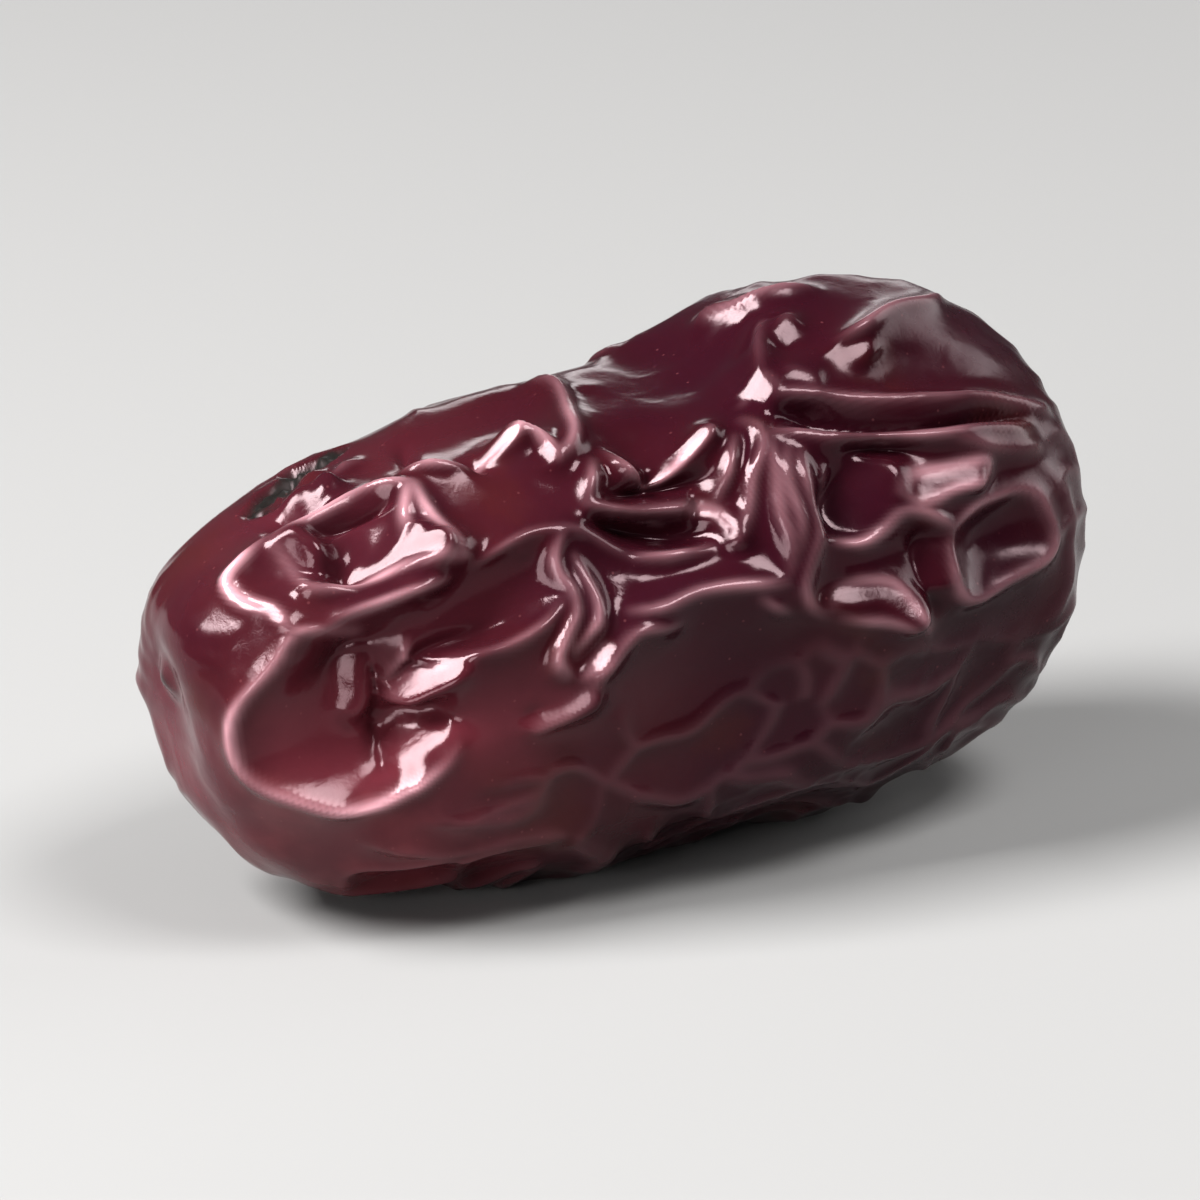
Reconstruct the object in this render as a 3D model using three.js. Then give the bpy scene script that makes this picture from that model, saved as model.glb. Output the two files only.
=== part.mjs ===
// A dried jujube, lying on its belly: one solid, the fruit as it shrank on the tree or in the drying kiln.
//
// Millimetres, +Z up, +X along the fruit from the blossom end to the stem end, -Y towards its front side.
// The origin is at the middle of the fruit's outline, on the surface that it rests on.
//
// The fruit is a loft of blunt, rounded rings along a gently bent spine. Its flesh has sunk in places:
// broad hollows where the skin buckled inwards, and a cavity round the stalk scar at the stem end.

import * as THREE from "three";
import { mergeVertices } from "three/addons/utils/BufferGeometryUtils.js";

const LENGTH = 40; // from the blossom end to the rim of the stem end
const END_SQUARENESS = 2.8; // the lengthwise outline is a superellipse: 2 is an ellipse, more is blunter
const END_CROWDING = 0.2; // how much closer together the rings of facets lie towards the ends
const BLOSSOM_END_LEAN = 1.7; // how far the top of the blossom end reaches past its middle
const SKIN_DETAIL = 19; // how often each edge of the icosahedron is split
const BELLY_SAG = 0.45; // how much of the belly the fruit's own weight has pressed flat

// The spine and the girth at even steps from the blossom end to the stem end:
// how far the spine lies to the back and above the belly, then half the width and half the height.
const STATIONS = [
  { back: -0.3, above: 8.8, halfWidth: 8.8, halfHeight: 9.4 },
  { back: -0.2, above: 9.1, halfWidth: 9.2, halfHeight: 9.5 },
  { back: 0.0, above: 9.5, halfWidth: 9.4, halfHeight: 9.8 },
  { back: 0.2, above: 9.9, halfWidth: 9.7, halfHeight: 10.0 },
  { back: 0.1, above: 11.1, halfWidth: 10.1, halfHeight: 11.1 },
  { back: 0.1, above: 11.5, halfWidth: 10.3, halfHeight: 11.3 },
  { back: 0.0, above: 11.4, halfWidth: 9.9, halfHeight: 10.4 },
];

// Hollows in the flesh, where the skin has buckled inwards. Each lies at a place along the fruit and at an
// angle in degrees round it, which is 0 at the top and grows towards the front. It reaches this far along
// the fruit and round it from its middle, sinks this deep, and may be turned on the skin by some degrees.
const HOLLOWS = [
  // The front, from the blossom end: the big crater, its neighbours, and the folds of the thick end.
  { along: -14.5, angle: 90, reach: [3.7, 3.7], depth: 1.5 },
  { along: -16.5, angle: 135, reach: [3.0, 3.0], depth: 0.7 },
  { along: -12.0, angle: 33, reach: [3.2, 1.6], depth: 0.7, turn: -6 },
  { along: -8.7, angle: 61, reach: [4.2, 2.2], depth: 0.8, turn: -8 },
  { along: -6.5, angle: 108, reach: [4.0, 2.4], depth: 0.9, turn: 5 },
  { along: -1.6, angle: 52, reach: [4.0, 1.6], depth: 0.8 },
  { along: 1.2, angle: 98, reach: [5.0, 2.6], depth: 1.0, turn: -6 },
  { along: 7.0, angle: 62, reach: [2.2, 2.4], depth: 0.7 },
  { along: 9.5, angle: 38, reach: [6.0, 1.3], depth: 0.9 },
  { along: 12.0, angle: 72, reach: [2.6, 2.2], depth: 0.9 },
  { along: 11.0, angle: 112, reach: [4.0, 3.0], depth: 1.0 },
  // The top.
  { along: -12.5, angle: 0, reach: [1.9, 2.4], depth: 0.8 },
  { along: -4.5, angle: 2, reach: [4.5, 2.0], depth: 0.5 },
  { along: 2.6, angle: -2, reach: [2.0, 3.4], depth: 0.8 },
  { along: 10.5, angle: -22, reach: [4.0, 2.0], depth: 0.5 },
  // The back.
  { along: -15.0, angle: -112, reach: [3.0, 3.2], depth: 0.9 },
  { along: -10.0, angle: -66, reach: [5.0, 3.0], depth: 1.2, turn: 8 },
  { along: -4.0, angle: -112, reach: [4.6, 3.0], depth: 1.0, turn: -10 },
  { along: 0.5, angle: -44, reach: [5.0, 2.0], depth: 0.9 },
  { along: 5.0, angle: -82, reach: [3.6, 2.8], depth: 1.1, turn: 12 },
  { along: 12.5, angle: -58, reach: [4.0, 2.6], depth: 1.0 },
  { along: 12.0, angle: -112, reach: [4.4, 2.8], depth: 1.0 },
  // The belly, on both sides of the strip that it lies on.
  { along: -10.0, angle: 150, reach: [3.4, 2.0], depth: 0.6 },
  { along: 2.5, angle: 146, reach: [4.0, 2.2], depth: 0.7 },
  { along: -2.0, angle: -146, reach: [4.0, 2.2], depth: 0.7 },
  { along: 14.0, angle: 176, reach: [3.4, 4.0], depth: 0.8 },
];
const MIDDLE_GIRTH_RADIUS = 9.6; // turns an angle round the fruit into a length on its skin
const HOLLOW_FLATNESS = 1.5; // 1 is a bell-shaped hollow, more gives it a flatter floor and steeper sides

// The cavity round the stalk scar, and the small dimple of the blossom end.
const STEM_CAVITY = { depth: 2.8, radius: 3.0 };
const BLOSSOM_DIMPLE = { depth: 0.5, radius: 1.7 };

// A smooth line through evenly spaced values, read at a share from 0 to 1.
function evenSpline(values, share) {
  const last = values.length - 1;
  const place = THREE.MathUtils.clamp(share, 0, 1) * last;
  const i = Math.min(Math.floor(place), last - 1);
  const t = place - i;
  const near = [i - 1, i, i + 1, i + 2].map((k) => values[THREE.MathUtils.clamp(k, 0, last)]);
  const rise = near[2] - near[1];
  const slopeFrom = (near[2] - near[0]) / 2;
  const slopeTo = (near[3] - near[1]) / 2;
  const bend = 3 * rise - 2 * slopeFrom - slopeTo;
  const twist = slopeFrom + slopeTo - 2 * rise;
  return near[1] + t * (slopeFrom + t * (bend + t * twist));
}

// How deep the skin has sunk at a place on the fruit, its angle in radians.
function sunkDepth(along, angle) {
  return HOLLOWS.reduce((sum, hollow) => {
    const apart = angle - THREE.MathUtils.degToRad(hollow.angle);
    const around = Math.atan2(Math.sin(apart), Math.cos(apart)) * MIDDLE_GIRTH_RADIUS;
    const place = new THREE.Vector2(along - hollow.along, around);
    place.rotateAround(new THREE.Vector2(), THREE.MathUtils.degToRad(hollow.turn ?? 0));
    const share = Math.hypot(place.x / hollow.reach[0], place.y / hollow.reach[1]);
    return sum + hollow.depth * Math.exp(-(share ** (2 * HOLLOW_FLATNESS)));
  }, 0);
}

// How far a pit with its middle on the fruit's axis has sunk, at this distance from the axis.
function pitDepth(pit, fromAxis) {
  return pit.depth * Math.exp(-((fromAxis / pit.radius) ** 2));
}

// The point of the fruit's skin that a point of the unit sphere stands for.
function skinPoint(unit) {
  const reach = unit.x * (1 + END_CROWDING * (1 - unit.x ** 2));
  const share = (reach + 1) / 2;
  const station = Object.fromEntries(
    Object.keys(STATIONS[0]).map((key) => [key, evenSpline(STATIONS.map((s) => s[key]), share)]),
  );
  const angle = Math.atan2(-unit.y, unit.z);
  const girth = (1 - Math.abs(reach) ** END_SQUARENESS) ** (1 / END_SQUARENESS);
  const lean = BLOSSOM_END_LEAN * Math.max(-unit.x, 0) ** 3 * Math.cos(angle) * girth;
  const along = (reach * LENGTH) / 2 - lean;
  const sunk = sunkDepth(along, angle) * girth;
  const fromAxis = Math.hypot(unit.y, unit.z) * MIDDLE_GIRTH_RADIUS;
  const inwards = unit.x > 0 ? -pitDepth(STEM_CAVITY, fromAxis) : pitDepth(BLOSSOM_DIMPLE, fromAxis);
  return new THREE.Vector3(
    along + inwards,
    station.back - Math.sin(angle) * (station.halfWidth * girth - sunk),
    station.above + Math.cos(angle) * (station.halfHeight * girth - sunk),
  );
}

// The fruit's closed surface, standing on the plane that its belly is pressed flat against.
function fruitGeometry() {
  const sphere = new THREE.IcosahedronGeometry(1, SKIN_DETAIL);
  sphere.deleteAttribute("normal");
  sphere.deleteAttribute("uv");
  const geometry = mergeVertices(sphere, 1e-5);
  const skin = geometry.getAttribute("position");
  const unit = new THREE.Vector3();
  for (let i = 0; i < skin.count; i++) {
    const point = skinPoint(unit.fromBufferAttribute(skin, i).normalize());
    skin.setXYZ(i, point.x, point.y, point.z);
  }
  geometry.computeBoundingBox();
  const { min, max } = geometry.boundingBox;
  geometry.translate(-(min.x + max.x) / 2, -(min.y + max.y) / 2, -min.z - BELLY_SAG);
  for (let i = 0; i < skin.count; i++) {
    skin.setZ(i, Math.max(skin.getZ(i), 0));
  }
  geometry.computeVertexNormals();
  return geometry;
}

const skinMaterial = new THREE.MeshStandardMaterial({ color: 0x4a141c, roughness: 0.28, metalness: 0 });

const fruit = new THREE.Mesh(fruitGeometry(), skinMaterial);
fruit.name = "jujube";

const jujube = new THREE.Group();
jujube.name = "dried_jujube";
jujube.add(fruit);

export default jujube;
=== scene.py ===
"""A dried jujube, lying on its belly on a pale studio floor.

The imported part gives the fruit's size and its broad shape. This script dresses it in its skin: the folds
that rose as the fruit dried, the skin drawn down between them, the pores, the scab and the stalk scar.
Lengths are in millimetres while the skin is worked out, and in metres once it is a Blender mesh.
"""

import math

import bpy
import numpy as np
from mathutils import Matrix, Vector
from mathutils.bvhtree import BVHTree
from mathutils.kdtree import KDTree


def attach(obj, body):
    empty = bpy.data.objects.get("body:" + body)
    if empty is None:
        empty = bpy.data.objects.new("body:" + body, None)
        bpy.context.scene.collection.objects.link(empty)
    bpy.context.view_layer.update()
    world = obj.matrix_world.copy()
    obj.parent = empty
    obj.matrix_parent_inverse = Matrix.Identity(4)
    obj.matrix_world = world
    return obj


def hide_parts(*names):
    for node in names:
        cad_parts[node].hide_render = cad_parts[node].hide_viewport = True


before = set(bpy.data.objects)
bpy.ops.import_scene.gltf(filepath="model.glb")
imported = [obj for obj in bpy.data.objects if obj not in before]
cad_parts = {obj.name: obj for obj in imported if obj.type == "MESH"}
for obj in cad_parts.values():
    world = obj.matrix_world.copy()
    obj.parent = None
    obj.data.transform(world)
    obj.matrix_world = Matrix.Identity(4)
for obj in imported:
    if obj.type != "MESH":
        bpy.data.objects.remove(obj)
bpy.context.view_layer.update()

# ---------------------------------------------------------------------------------------------------------
# Camera: it stands in front of the fruit, off towards its blossom end and a little above it, on a long
# lens. The board that the folds are drawn on, further down, faces it.
MM = 0.001
VIEW_AZIMUTH = math.radians(-28)
VIEW_ELEVATION = math.radians(20)
VIEW_DISTANCE = 260 * MM
AIM = Vector((0, 0, 9.5 * MM))
SHOWN_WIDTH = 47 * MM
FRAME_SHIFT = 0.012  # how far the frame is shifted up, as a share of its width
NEAREST_SHOWN = 10 * MM

towards_camera = Vector((
    math.sin(VIEW_AZIMUTH) * math.cos(VIEW_ELEVATION),
    -math.cos(VIEW_AZIMUTH) * math.cos(VIEW_ELEVATION),
    math.sin(VIEW_ELEVATION),
))
camera_data = bpy.data.cameras.new("camera")
camera_data.lens = camera_data.sensor_width * VIEW_DISTANCE / SHOWN_WIDTH
camera_data.clip_start = NEAREST_SHOWN
camera_data.shift_y = FRAME_SHIFT
camera = bpy.data.objects.new("camera", camera_data)
camera.location = AIM + towards_camera * VIEW_DISTANCE
camera.rotation_euler = (-towards_camera).to_track_quat("-Z", "Y").to_euler()
bpy.context.scene.collection.objects.link(camera)
bpy.context.scene.camera = camera

# ---------------------------------------------------------------------------------------------------------
# Floor: a wide round sheet of pale matt board, flat out to its edge, so that the fruit can be seen from all
# sides. The fruit lies loose on it, on the flat spot of its belly.
FLOOR_RADIUS = 1.6
FLOOR_CORNERS = 96
FLOOR_COLOUR = (0.27, 0.267, 0.264, 1)
FLOOR_ROUGHNESS = 0.9
FLOOR_SPECULAR = 0.1

floor_mesh = bpy.data.meshes.new("floor")
turns = [2 * math.pi * k / FLOOR_CORNERS for k in range(FLOOR_CORNERS)]
rim = [(FLOOR_RADIUS * math.cos(t), FLOOR_RADIUS * math.sin(t), 0) for t in turns]
floor_mesh.from_pydata(rim, [], [list(range(FLOOR_CORNERS))])
floor_board = bpy.data.materials.new("pale_board")
floor_board.use_nodes = True
board_shader = floor_board.node_tree.nodes["Principled BSDF"]
board_shader.inputs["Base Color"].default_value = FLOOR_COLOUR
board_shader.inputs["Roughness"].default_value = FLOOR_ROUGHNESS
board_shader.inputs["Specular IOR Level"].default_value = FLOOR_SPECULAR
floor_mesh.materials.append(floor_board)
floor = bpy.data.objects.new("floor", floor_mesh)
bpy.context.scene.collection.objects.link(floor)

# ---------------------------------------------------------------------------------------------------------
# Studio light: a strong soft box high on the left for the bright glints on the folds, a smaller one high
# over the front, weak ones low on the left and on the right, a faint one behind, and the pale room. All of
# them hang half a metre from the fruit's middle and are aimed at it.
BOX_DISTANCE = 0.50
ROOM_COLOUR = (0.90, 0.91, 0.93, 1)
ROOM_STRENGTH = 0.10


def soft_box(name, azimuth, elevation, width, height, power):
    """A soft box of this size in metres and power in watts, aimed at the fruit from this many degrees round
    it and above it."""
    turn, lift = math.radians(azimuth), math.radians(elevation)
    direction = Vector((math.sin(turn) * math.cos(lift), -math.cos(turn) * math.cos(lift), math.sin(lift)))
    light = bpy.data.lights.new(name, "AREA")
    light.shape = "RECTANGLE"
    light.size, light.size_y = width, height
    light.energy = power
    lamp = bpy.data.objects.new(name, light)
    lamp.location = AIM + direction * BOX_DISTANCE
    lamp.rotation_euler = (-direction).to_track_quat("-Z", "Y").to_euler()
    bpy.context.scene.collection.objects.link(lamp)


soft_box("left_box", azimuth=-100, elevation=46, width=0.22, height=0.24, power=5.6)
soft_box("right_box", azimuth=85, elevation=22, width=0.30, height=0.30, power=0.9)
soft_box("back_box", azimuth=150, elevation=14, width=0.20, height=0.10, power=0.13)
soft_box("front_box", azimuth=30, elevation=60, width=0.22, height=0.18, power=2.1)
soft_box("low_box", azimuth=-62, elevation=12, width=0.22, height=0.20, power=1.2)

room = bpy.data.worlds.new("room")
room.use_nodes = True
room.node_tree.nodes["Background"].inputs["Color"].default_value = ROOM_COLOUR
room.node_tree.nodes["Background"].inputs["Strength"].default_value = ROOM_STRENGTH
bpy.context.scene.world = room
bpy.context.scene.view_settings.view_transform = "Standard"
bpy.context.scene.view_settings.look = "Medium High Contrast"

# ---------------------------------------------------------------------------------------------------------
# Flesh: the shrunken pulp under the skin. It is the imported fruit's own shape, on a fine even net of squares
# that is laid over it from a spine inside, and rubbed smooth so that none of its flat faces is left.
SQUARES_ALONG = 168  # along each of the four long patches of the net
SQUARES_ROUND = 104  # across each of them, and both ways over the two end patches
SPINE_HALF_LENGTH = 9.0
SPINE_HEIGHT = 10.6
FLESH_RUBS = 45
SAME_CORNER = 1e6  # corners of two patches are one where they agree to one part in this many


def closed_net(squares):
    """The corners of six patches that close into a ball, and their squares as corner numbers.
    squares says how many squares there are along x, y and z."""
    corners, faces, first_number = [], [], 0
    for axis in range(3):
        wide, high = squares[(axis + 1) % 3], squares[(axis + 2) % 3]
        steps = [np.tan(np.linspace(-1, 1, count + 1) * math.pi / 4) for count in (wide, high)]
        across, upward = np.meshgrid(*steps, indexing="ij")
        numbers = np.arange(across.size).reshape(across.shape)
        ring = [numbers[:-1, :-1], numbers[1:, :-1], numbers[1:, 1:], numbers[:-1, 1:]]
        ring = np.stack(ring, axis=-1).reshape(-1, 4)
        for side in (-1, 1):
            patch = np.empty((across.size, 3))
            patch[:, axis] = side
            patch[:, (axis + 1) % 3] = across.ravel()
            patch[:, (axis + 2) % 3] = upward.ravel()
            corners.append(patch)
            faces.append((ring if side > 0 else ring[:, ::-1]) + first_number)
            first_number += across.size
    corners = np.concatenate(corners)
    keys = np.round(corners * SAME_CORNER).astype(np.int64)
    _, first, joined = np.unique(keys, axis=0, return_index=True, return_inverse=True)
    corners = corners[first]
    return corners / np.linalg.norm(corners, axis=1, keepdims=True), joined.ravel()[np.concatenate(faces)]


def neighbours_on_net(faces, count):
    """The four neighbours of each corner. Where a corner has only three, it is its own fourth."""
    sides = np.concatenate([faces[:, [k, (k + 1) % 4]] for k in range(4)])
    sides = np.unique(np.concatenate([sides, sides[:, ::-1]]), axis=0)
    starts = np.searchsorted(sides[:, 0], np.arange(count))
    table = np.repeat(np.arange(count)[:, None], 4, axis=1)
    table[sides[:, 0], np.arange(len(sides)) - starts[sides[:, 0]]] = sides[:, 1]
    return table


def rubbed(values, times):
    """Values on the net after each has moved half-way to its neighbours' mean, as often as asked."""
    for _ in range(times):
        values = values + (values[around].mean(axis=1) - values) / 2
    return values


def outward(points):
    """The unit normals of the net at its corners."""
    a, b, c, d = (points[faces[:, k]] for k in range(4))
    facing = np.cross(c - a, d - b)
    total = np.zeros_like(points)
    for k in range(4):
        np.add.at(total, faces[:, k], facing)
    return total / np.linalg.norm(total, axis=1, keepdims=True)


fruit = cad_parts["jujube"]
fruit_corners = np.array([corner.co for corner in fruit.data.vertices]) / MM
fruit_faces = [list(face.vertices) for face in fruit.data.polygons]
fruit_tree = BVHTree.FromPolygons([Vector(corner) for corner in fruit_corners], fruit_faces)

ball, faces = closed_net((SQUARES_ALONG, SQUARES_ROUND, SQUARES_ROUND))
around = neighbours_on_net(faces, len(ball))
flesh = np.empty_like(ball)
for number, direction in enumerate(ball):
    start = Vector((SPINE_HALF_LENGTH * direction[0], 0, SPINE_HEIGHT))
    flesh[number] = fruit_tree.ray_cast(start, Vector(direction))[0]
flesh = rubbed(flesh, FLESH_RUBS)
flesh_out = outward(flesh)
flesh_tree = BVHTree.FromPolygons([Vector(corner) for corner in flesh], faces.tolist())

# ---------------------------------------------------------------------------------------------------------
# Front folds: the raised creases of the side towards the camera, where the drying skin doubled up. Each is
# drawn as a few points on a board through the fruit's middle that faces the camera, in millimetres right of
# and above its centre, and is thrown onto the flesh from where the camera stands.
board_right = np.array([math.cos(VIEW_AZIMUTH), math.sin(VIEW_AZIMUTH), 0])
board_out = np.array(towards_camera)
board_up = np.cross(board_out, board_right)
board_centre = np.array(AIM) / MM
board_eye = board_centre + board_out * VIEW_DISTANCE / MM

# Each group of folds says how far its crests rise above the flesh, how firmly they hold the skin up there,
# how strongly the crest is coloured pale and pink (the stretched skin, and partly a painted sheen), how far
# from a crest the skin still hangs from it, and how high the bead of doubled skin along it is. Rise, reach
# and bead are in millimetres.
BLOSSOM_END_FOLDS = dict(rise=0.30, firmness=1.0, glow=1.0, reach=1.1, bead=0.20, lines=[
    # the zigzag down to the crater, and the crater's rim
    [(-12.9, 3.2), (-14.1, 2.1), (-14.7, 1.4), (-14.2, 0.7), (-13.1, 0.3), (-12.4, -0.2), (-12.0, -0.7)],
    [(-9.3, -0.4), (-10.7, -0.4), (-12.0, -0.7), (-12.9, -2.2), (-14.1, -4.2), (-14.2, -5.6), (-13.6, -6.6),
     (-12.0, -7.4), (-10.4, -7.9), (-9.0, -7.6), (-7.6, -7.0), (-6.2, -6.2), (-5.7, -5.6)],
])
BOX_FOLDS = dict(rise=0.40, firmness=1.0, glow=0.68, reach=1.0, bead=0.14, lines=[
    # the box-shaped facet above the crater
    [(-12.8, 3.1), (-12.3, 2.2), (-11.3, 1.3), (-9.4, 1.6), (-7.5, 2.0), (-5.7, 2.4)],
    [(-12.8, 3.1), (-11.5, 3.7), (-10.0, 4.5), (-8.7, 5.0), (-7.2, 5.2)],
    [(-7.4, 5.1), (-7.5, 3.9), (-7.3, 2.7)],
    [(-7.1, 5.2), (-6.5, 3.9), (-5.7, 2.5)],
])
FLAT_TOP_FOLDS = dict(rise=0.40, firmness=1.0, glow=0.42, reach=1.0, bead=0.14, lines=[
    # the one between the crater and the box
    [(-10.7, -0.4), (-9.6, 0.2), (-8.2, 0.6), (-6.9, 1.1), (-6.2, 1.4)],
    # the flat top next to the hump
    [(-2.6, 9.4), (-1.7, 8.9), (-1.0, 8.1), (-1.2, 7.1), (-1.7, 6.4)],
    [(-5.2, 6.1), (-6.4, 6.0), (-7.7, 5.8)],
    [(-10.3, 6.0), (-9.7, 6.4)],
])
MIDDLE_FOLDS = dict(rise=0.36, firmness=0.9, glow=0.28, reach=1.1, bead=0.12, lines=[
    # from the bright wall of the crater to the middle
    [(-5.4, -1.75), (-3.6, -1.2), (-2.4, -0.6), (-1.7, 0.3)],
    # low down, towards the stem end
    [(-0.2, -3.3), (0.7, -2.1), (1.2, -1.2), (1.8, -0.6), (3.1, -0.4)],
    [(1.3, 0.2), (2.6, 0.4), (4.0, 0.9), (6.0, 1.3), (7.3, 1.5)],
    [(6.2, 0.8), (7.4, 0.2)],
])
LONG_FOLD = dict(rise=0.22, firmness=0.45, glow=0.12, reach=1.1, bead=0.05, lines=[
    # the low one above the long flat part in the middle
    [(-5.0, 2.1), (-3.2, 3.0), (-1.5, 3.3), (-0.5, 3.1), (0.5, 2.6), (1.5, 2.4)],
])
HOOK_FOLDS = dict(rise=0.42, firmness=1.0, glow=0.60, reach=0.6, bead=0.12, lines=[
    # the two hooks beside the long flat part, and the short fold at their foot
    [(-1.5, 3.0), (-1.9, 2.1), (-1.8, 1.3), (-1.3, 0.6), (-1.1, -0.2), (-1.4, -1.0), (-1.6, -1.8),
     (-1.1, -2.5)],
    [(-1.1, 2.1), (-0.7, 1.3), (-0.2, 0.4), (-0.1, -0.4), (-0.5, -1.1), (-0.9, -1.5)],
    [(0.3, -1.4), (0.1, -2.1), (-0.4, -2.7)],
])
WAIST_FOLDS = dict(rise=0.40, firmness=0.9, glow=0.24, reach=0.6, bead=0.10, lines=[
    # the pair along the waist, and the upright one at their end
    [(-0.5, 4.4), (1.0, 4.05), (2.7, 4.1), (3.9, 4.2), (4.8, 3.9), (5.4, 3.0)],
    [(1.5, 2.4), (3.0, 2.5), (4.4, 2.9)],
    [(4.6, 4.5), (5.1, 5.5), (5.2, 7.0)],
    # the notch under the hump
    [(-0.4, 6.4), (-0.4, 5.5), (-0.5, 4.6)],
    [(0.1, 6.8), (0.8, 6.0), (1.6, 5.3), (2.1, 5.2)],
    # the bunch of upright ones
    [(5.4, 7.8), (6.2, 7.3), (6.5, 6.4), (6.2, 5.2), (6.0, 4.3), (5.6, 3.3)],
    [(6.8, 6.9), (7.1, 5.4), (7.1, 3.8), (7.4, 2.7), (7.4, 1.8)],
    [(7.5, 6.5), (7.5, 5.0), (7.8, 3.4), (7.6, 2.2)],
    [(8.0, 6.4), (8.2, 5.0), (8.6, 3.4), (8.3, 2.2), (8.1, 1.2), (8.5, 0.4), (9.1, 0.0)],
    [(9.0, 5.9), (9.1, 4.6)],
])
RING_FOLDS = dict(rise=0.40, firmness=0.9, glow=0.45, reach=0.9, bead=0.10, lines=[
    # the line to the ring, a raised panel, the ring, and the folds low down
    [(9.2, 2.9), (10.4, 2.8), (11.2, 3.3), (11.9, 4.1), (12.6, 4.0), (13.8, 3.3)],
    [(12.0, 4.9), (12.5, 5.5), (13.7, 5.7), (15.0, 6.0), (14.8, 5.3), (13.6, 4.8), (12.6, 4.4),
     (12.0, 4.9)],
    [(13.8, 3.2), (14.8, 4.2), (16.3, 4.9), (17.3, 4.4), (17.7, 3.0), (16.6, 1.7), (15.0, 0.8), (14.1, 1.2),
     (13.8, 2.2), (13.8, 3.2)],
    [(9.2, 0.4), (9.8, 1.1), (11.6, 1.2), (12.5, 0.2), (13.1, -0.6)],
    [(9.6, 0.0), (11.0, -0.2), (12.3, -0.4)],
])
STEM_END_FOLDS = dict(rise=0.40, firmness=0.9, glow=0.24, reach=0.9, bead=0.10, lines=[
    # the long ones under the hump
    [(6.9, 8.6), (9.3, 8.7), (12.5, 8.5), (15.9, 8.6), (17.6, 8.4)],
    [(6.5, 7.1), (9.0, 7.1), (12.5, 6.9), (14.5, 7.2), (16.8, 7.5)],
    [(14.0, 6.8), (15.5, 6.5), (17.2, 6.5)],
    # on the hump
    [(6.2, 11.6), (6.2, 10.4), (6.2, 9.6)],
    [(5.4, 8.6), (6.2, 9.3), (6.9, 8.7)],
    [(3.6, 11.9), (4.6, 12.1), (6.2, 12.5), (8.3, 13.1)],
    [(7.0, 11.2), (7.5, 11.9)],
    [(9.3, 11.2), (10.6, 11.6), (12.0, 12.2), (13.6, 12.7)],
    [(7.4, 9.6), (8.3, 9.2)],
])
# The highest and stiffest folds, which take the brightest glints.
STIFF_FOLDS = dict(rise=0.52, firmness=1.2, glow=0.50, reach=0.9, bead=0.16, lines=[
    [(-6.9, -3.1), (-6.2, -2.5), (-5.4, -1.75)],
    [(-1.8, 6.3), (-2.4, 7.0), (-3.0, 7.15), (-4.2, 6.6), (-5.2, 6.1)],
    [(2.1, 5.2), (3.2, 6.2), (4.3, 7.2)],
    [(-2.2, -4.8), (-1.2, -4.1), (-0.2, -3.3)],
])
# Folds down in the crater, whose crests stay below the flesh around it.
CRATER_FOLDS = dict(rise=-0.80, firmness=0.9, glow=0.40, reach=1.0, bead=0.12, lines=[
    [(-7.4, -1.2), (-7.6, -2.4), (-8.2, -3.5)],
    [(-8.0, -4.0), (-7.3, -3.4), (-6.6, -2.8)],
])
# Creases that lie lower than the skin on both sides of them.
CRATER_CREASES = dict(rise=-2.2, firmness=1.0, glow=0.0, reach=1.0, bead=-0.45, lines=[
    [(-8.9, -0.8), (-8.7, -2.2), (-8.5, -3.6), (-8.4, -5.0), (-8.4, -6.2)],
    [(-8.4, -4.9), (-7.8, -4.6), (-7.2, -4.4), (-6.5, -4.1)],
])
FRONT_CREASES = dict(rise=-1.25, firmness=0.8, glow=0.0, reach=1.0, bead=-0.30, lines=[
    [(-7.6, -3.0), (-6.7, -1.7), (-5.5, -0.9), (-4.0, -0.3)],
    [(-7.8, 7.3), (-8.2, 6.3)],
    [(-11.4, 3.1), (-9.8, 3.9), (-8.2, 4.4)],
    [(7.2, 7.9), (9.5, 7.9), (13.0, 7.7), (16.6, 7.9)],
    [(10.0, 6.6), (12.6, 6.5)],
    [(0.4, 4.9), (2.4, 4.9), (4.2, 5.3)],
    [(-0.2, 3.6), (1.5, 3.4), (4.0, 3.4)],
    [(12.7, 3.2), (13.0, 1.8), (13.4, 0.4)],
])
LINE_STEP = 0.12  # how far apart a fold's points are once it lies on the flesh


def smooth_line(points, step):
    """A smooth line through given points, as points about a step apart."""
    points = np.array(points, float)
    ends = np.concatenate([[2 * points[0] - points[1]], points, [2 * points[-1] - points[-2]]])
    line = []
    for k in range(1, len(ends) - 2):
        pieces = max(2, int(np.linalg.norm(ends[k + 1] - ends[k]) / step))
        t = np.linspace(0, 1, pieces, endpoint=False)[:, None]
        slope, next_slope = (ends[k + 1] - ends[k - 1]) / 2, (ends[k + 2] - ends[k]) / 2
        bend = 3 * (ends[k + 1] - ends[k]) - 2 * slope - next_slope
        twist = slope + next_slope - 2 * (ends[k + 1] - ends[k])
        line.append(ends[k] + t * (slope + t * (bend + t * twist)))
    return np.concatenate(line + [points[-1:]])


def thrown_on_flesh(places):
    """Where places on the board come to lie on the flesh. A place beside the fruit is left out."""
    found = []
    for right, up in places:
        aim = board_centre + board_right * right + board_up * up
        hit = flesh_tree.ray_cast(Vector(board_eye), Vector(aim - board_eye).normalized())[0]
        if hit is not None:
            found.append(np.array(hit))
    return np.array(found)


def nearest_on(lines_on_flesh, places):
    """For each place, how far it is from the nearest point of some lines, and which one that is."""
    tree = KDTree(len(lines_on_flesh))
    for number, place in enumerate(lines_on_flesh):
        tree.insert(place, number)
    tree.balance()
    found = [tree.find(place)[1:] for place in places]
    return np.array([distance for _, distance in found]), np.array([number for number, _ in found])


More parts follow.
